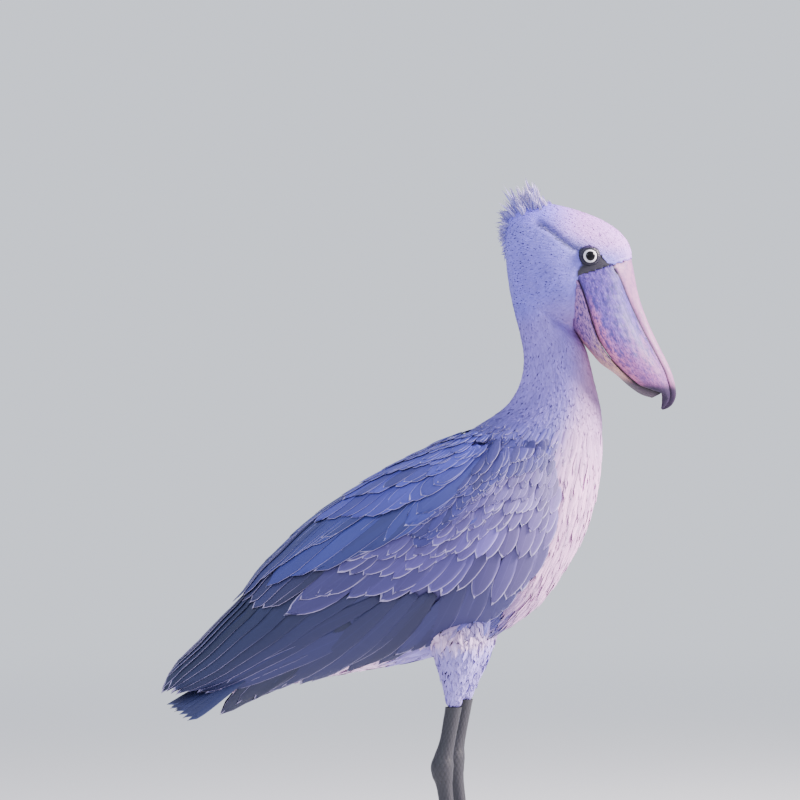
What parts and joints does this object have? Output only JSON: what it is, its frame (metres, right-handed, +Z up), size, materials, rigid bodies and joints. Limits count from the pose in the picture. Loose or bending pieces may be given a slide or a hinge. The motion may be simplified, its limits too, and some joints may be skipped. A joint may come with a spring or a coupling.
{
  "type": "shoebill",
  "caption": "Life-size standing shoebill, a tall blue-grey wading bird with a huge hooked bill, a short nape crest, folded wings, long bare legs and long spread toes.",
  "frame": {"origin": "middle of the model's footprint box, on the floor", "axes": "+X the way the bird faces, +Y the bird's left, +Z up"},
  "size_m": [0.7804, 0.3382, 1.1297],
  "materials": {
    "body_plumage": "soft matt feather, blue-grey with paler edges and pale breast streaks",
    "neck_plumage": "short velvety grey feather, paler and pinker on the front",
    "head_plumage": "short velvety blue-grey feather, pale on crown and cheek",
    "wing_feathers": "satin slate-blue vanes with pale edges",
    "tail_feathers": "satin dark slate-blue vanes",
    "thigh_plumage": "soft pale grey down",
    "bill_horn": "satin horn, pink-buff with blue-grey blotches and a dark hook",
    "leg_skin": "dark slate scaly skin, matt",
    "claw_horn": "dark smooth horn",
    "eye": "wet gloss, silvery white iris and black pupil"
  },
  "bodies": {
    "root": {"torso": "body_plumage", "neck": "neck_plumage", "head": "head_plumage", "crest": "head_plumage", "bill_upper": "bill_horn", "bill_lower": "bill_horn", "eye_right": "eye", "eye_left": "eye", "wing_right": "wing_feathers", "wing_left": "wing_feathers", "tail": "tail_feathers", "thigh_right": "thigh_plumage", "shank_right": "leg_skin", "tarsus_right": "leg_skin", "toe_right_middle": "leg_skin", "claw_right_middle": "claw_horn", "toe_right_hind": "leg_skin", "claw_right_hind": "claw_horn", "toe_right_inner": "leg_skin", "claw_right_inner": "claw_horn", "toe_right_outer": "leg_skin", "claw_right_outer": "claw_horn", "thigh_left": "thigh_plumage", "shank_left": "leg_skin", "tarsus_left": "leg_skin", "toe_left_middle": "leg_skin", "claw_left_middle": "claw_horn", "toe_left_hind": "leg_skin", "claw_left_hind": "claw_horn", "toe_left_inner": "leg_skin", "claw_left_inner": "claw_horn", "toe_left_outer": "leg_skin", "claw_left_outer": "claw_horn"}
  },
  "joints": []
}
